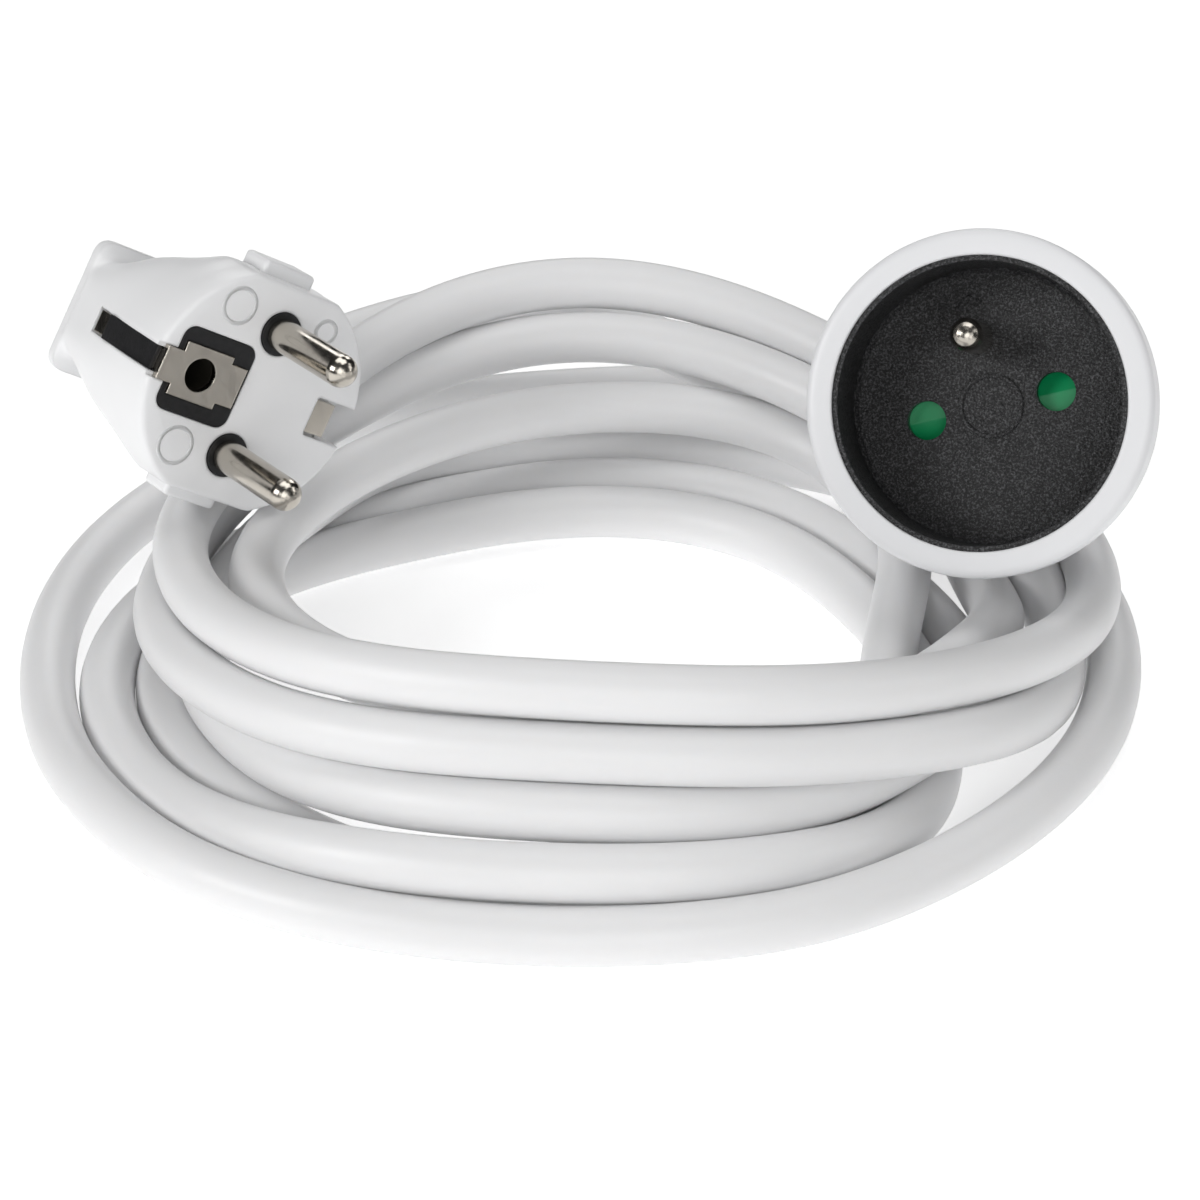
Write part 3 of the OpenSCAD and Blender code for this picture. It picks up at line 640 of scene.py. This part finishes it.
def outlet_cutter(radius, top, bottom, sides):
    """A round cutter along the cord outlet, which leaves the plug's back at a slant."""
    c, s = math.cos(OUTLET_LEAN), math.sin(OUTLET_LEAN)
    lean = np.array([[1, 0, 0], [0, c, -s], [0, s, c]])
    return prism_cutter(circle(0, 0, radius, sides), top, bottom, "white_plug",
                        PLUG_TURN @ lean, PLUG_TURN @ np.array(OUTLET_MM) + PLUG_AT_MM)


def make_plug_body():
    """The plug's moulding with the pockets of its pins, bridge, clips and cord outlet."""
    verts, faces = plug_loft()
    body = new_mesh("plug_moulding", in_place(verts, PLUG_TURN, PLUG_AT_MM), faces,
                    LOOKS["white_plug"])
    pin_x, pin_hole_r, bridge_depth = 9.5, 3.3, 4.6
    earth_y, earth_hole_r, earth_depth = 10, 3.4, 10.7
    relief_r, cord_hole_r = 7.3, CORD_R_MM + 0.06
    cutters = [plug_cutter(circle(side * pin_x, 0, pin_hole_r), 1, -bridge_depth)
               for side in (-1, 1)]
    cutters += [
        plug_cutter(rounded_box(-6.4, 6.4, 2.3, 15.1, 1.9), 1, -bridge_depth),
        plug_cutter(circle(0, earth_y, earth_hole_r), 1, -earth_depth),
        # the side clip's groove and the strap's, which is shallow
        plug_cutter(rounded_box(-1.9, 1.9, 14.4, 23, 0.4), 1, -20),
        plug_cutter(box_outline(-2.6, 2.6, 14.4, 23), 1, -0.75),
        # the rear clip's groove and the pocket of its folded end
        plug_cutter(box_outline(-3, 3, -23, -13.6), 1, -13),
        plug_cutter(rounded_box(-3, 3, -14.4, -10.6, 0.5), 1, -1.6),
        outlet_cutter(relief_r, 30, 0, 64),
        outlet_cutter(cord_hole_r, 5, -10, 48)]
    cut(body, cutters)
    soften(body, 0.00028)
    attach(body, BODY)
    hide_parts("plug_body")


def make_guide_ribs():
    """The two guide ribs on the disc's flats, with rounded ends."""
    verts, faces = [], []
    for side in (-1, 1):
        outline = rounded_box(14.6, 18.4, -4.5, 4.5, 0.7, 5)
        outline = [(side * x, side * y) for x, y in outline]
        points, sides = closed_prism(outline, -4, -10)
        faces += [tuple(len(verts) + k for k in face) for face in sides]
        verts += [tuple(p) for p in points]
    ribs = new_mesh("plug_guide_ribs", in_place(verts, PLUG_TURN, PLUG_AT_MM), faces,
                    LOOKS["white_plug"])
    soften(ribs, 0.0005, segments=3)
    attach(ribs, BODY)


def make_face_rings():
    """Plain raised rings on the plug's face."""
    section = ((-0.42, -0.05), (-0.16, 0.07), (0.16, 0.07), (0.42, -0.05))
    count, sides = len(section), 64
    verts, faces = [], []
    for x, y, r in ((11.2, 8.4, 2.6), (-10.6, 8.8, 2.7), (12, -7, 1.7)):
        base = len(verts)
        for k in range(sides):
            a = 2 * math.pi * k / sides
            verts += [(x + (r + dr) * math.cos(a), y + (r + dr) * math.sin(a), z)
                      for dr, z in section]
            here, ahead = base + count * k, base + count * ((k + 1) % sides)
            for m in range(count):
                q = (m + 1) % count
                faces.append((here + m, ahead + m, ahead + q, here + q))
    rings = new_mesh("plug_face_rings", in_place(verts, PLUG_TURN, PLUG_AT_MM), faces,
                     LOOKS["white_plug"])
    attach(rings, BODY)


SHARP = math.radians(38)  # edges bent more than this stay sharp


def lathe(name, profile, slot, node, sides=160):
    """A closed ring of revolution about the socket's axis; profile runs once round it."""
    turns = np.arange(sides) * 2 * math.pi / sides
    verts = [(r * math.cos(a), r * math.sin(a), z) for a in turns for r, z in profile]
    n = len(profile)
    faces = [(i * n + k, ((i + 1) % sides) * n + k, ((i + 1) % sides) * n + (k + 1) % n,
              i * n + (k + 1) % n) for i in range(sides) for k in range(n)]
    piece = new_mesh(name, in_place(verts, SOCKET_TURN, SOCKET_AT_MM), faces, LOOKS[slot])
    piece.data.set_sharp_from_angle(angle=SHARP)
    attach(piece, BODY)
    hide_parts(node)
    return piece


def arc(r, z, radius, start, end, steps=8):
    """Points of an arc in the (radius, height) plane; angles in degrees."""
    return [(r + radius * math.cos(math.radians(a)), z + radius * math.sin(math.radians(a)))
            for a in np.linspace(start, end, steps)]


def make_socket_shell():
    """Front shell: a broad soft rim and a skirt that narrows to the back."""
    outer = [(23.0, -0.02)] + arc(23.3, -1.25, 1.2, 86, 0, 10)
    skirt = through([(24.5, -1.5), (24.48, -9), (23.95, -14), (23.2, -19), (22.3, -23.4)],
                    np.linspace(0, 4, 25)[1:])
    profile = arc(21.15, -0.4, 0.4, 180, 92, 6) + outer + [tuple(p) for p in skirt]
    profile += arc(21.9, -23.6, 0.4, 0, -90, 5) + [(20.2, -24), (20.2, -22.5),
                                                   (21.2, -17.6), (21.2, -0.5)]
    lathe("socket_front_shell", profile, "white_shell", "socket_shell")


def make_socket_housing():
    """Rear housing: a rounded cup with a shallow parting groove at its front."""
    back = through([(22.0, -24.7), (21.9, -27), (21.3, -30), (19.9, -33), (17.4, -35.1),
                    (14.2, -36.4), (11.1, -37)], np.linspace(0, 6, 49))
    profile = [(20.2, -24.05), (21.6, -24.05)] + [tuple(p) for p in back]
    profile += [(4.1, -37), (4.1, -35), (13.1, -35), (17.5, -32.4), (19.5, -28.5)]
    housing = lathe("socket_rear_housing", profile, "white_shell", "socket_housing")
    screw_ring, screw_well_r = 14.5, 2.4
    wells = []
    for a in np.radians((30, 150, 270)):
        well = circle(screw_ring * math.cos(a), screw_ring * math.sin(a), screw_well_r, 40)
        wells.append(prism_cutter(well, -34, -39, "white_shell", SOCKET_TURN, SOCKET_AT_MM))
    cut(housing, wells)
    housing.data.set_sharp_from_angle(angle=SHARP)


make_plug_body()
make_guide_ribs()
make_face_rings()
make_socket_shell()
make_socket_housing()


# ------------------------------------------------------------------ the cord

path = evenly(settle(wound_path()), STEP_MM / 2) * MM
cord = tube("cord_run", path, CORD_D / 2, LOOKS["cord_sheath"])
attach(cord, BODY)
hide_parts("cord_coil", "socket_lead")


# ------------------------------------------------------------------ stage, light, camera

# Name, place, what it points at, width and height, watts
LIGHTS = [
    ("key", (-0.86, -0.6, 0.56), (0, 0, 0.02), (0.5, 0.4), 6.3),
    ("front", (0.1, -0.95, 0.4), (0, 0, 0.02), (0.8, 0.6), 3.4),
    ("top", (0.05, 0.1, 0.95), (0, 0, 0), (0.8, 0.6), 3.2),
    ("back", (0.1, 0.95, 0.6), (0, 0, 0.02), (0.8, 0.4), 2.6),
    ("side", (0.85, -0.1, 0.45), (0, 0, 0.02), (0.35, 0.4), 1.2)]
CAMERA_AT, CAMERA_AIM = Vector((0.0024, -0.5148, 0.3084)), Vector((0.0024, 0, 0.0112))
CAMERA_LENS_MM, CAMERA_SENSOR_MM = 122.4, 36
FLOOR_R, FLOOR_Z = 3, -0.0002


def area_light(name, at, target, size, power):
    data = bpy.data.lights.new(name, "AREA")
    data.shape = "RECTANGLE"
    data.size, data.size_y = size
    data.energy = power
    obj = bpy.data.objects.new(name, data)
    obj.location = at
    obj.rotation_euler = (Vector(target) - Vector(at)).to_track_quat("-Z", "Y").to_euler()
    bpy.context.scene.collection.objects.link(obj)


def make_floor():
    """A wide white floor that glows a little, so that it stays pale under the coil."""
    look = Look("floor_look", (0.92, 0.92, 0.92), 0.5,
                Emission_Color=(1, 1, 1, 1), Emission_Strength=0.4)
    look.vary_rough(8, 0.03).grain(300, 0.02, 0.0002)
    verts = [(x, y, FLOOR_Z) for x, y in circle(0, 0, FLOOR_R)]
    floor = new_mesh("floor", verts, [tuple(range(len(verts)))], look.material, smooth=False)


def make_world():
    """Soft light from all round, brighter from above."""
    world = bpy.data.worlds.new("studio")
    world.use_nodes = True
    tree = world.node_tree
    background = tree.nodes["Background"]
    coords = tree.nodes.new("ShaderNodeTexCoord")
    split = tree.nodes.new("ShaderNodeSeparateXYZ")
    ramp = tree.nodes.new("ShaderNodeMapRange")
    for key, value in {"From Min": 0.0, "From Max": 0.9, "To Min": 0.32, "To Max": 0.58}.items():
        ramp.inputs[key].default_value = value
    tree.links.new(coords.outputs["Generated"], split.inputs[0])
    tree.links.new(split.outputs["Z"], ramp.inputs["Value"])
    tree.links.new(ramp.outputs["Result"], background.inputs["Strength"])
    bpy.context.scene.world = world


def set_camera():
    data = bpy.data.cameras.new("camera")
    data.lens = CAMERA_LENS_MM
    data.sensor_width = CAMERA_SENSOR_MM
    data.clip_start = 0.01
    camera = bpy.data.objects.new("camera", data)
    camera.location = CAMERA_AT
    camera.rotation_euler = (CAMERA_AIM - CAMERA_AT).to_track_quat("-Z", "Y").to_euler()
    bpy.context.scene.collection.objects.link(camera)
    bpy.context.scene.camera = camera


make_floor()
make_world()
for light in LIGHTS:
    area_light(*light)
bpy.context.scene.view_settings.view_transform = "Standard"
set_camera()
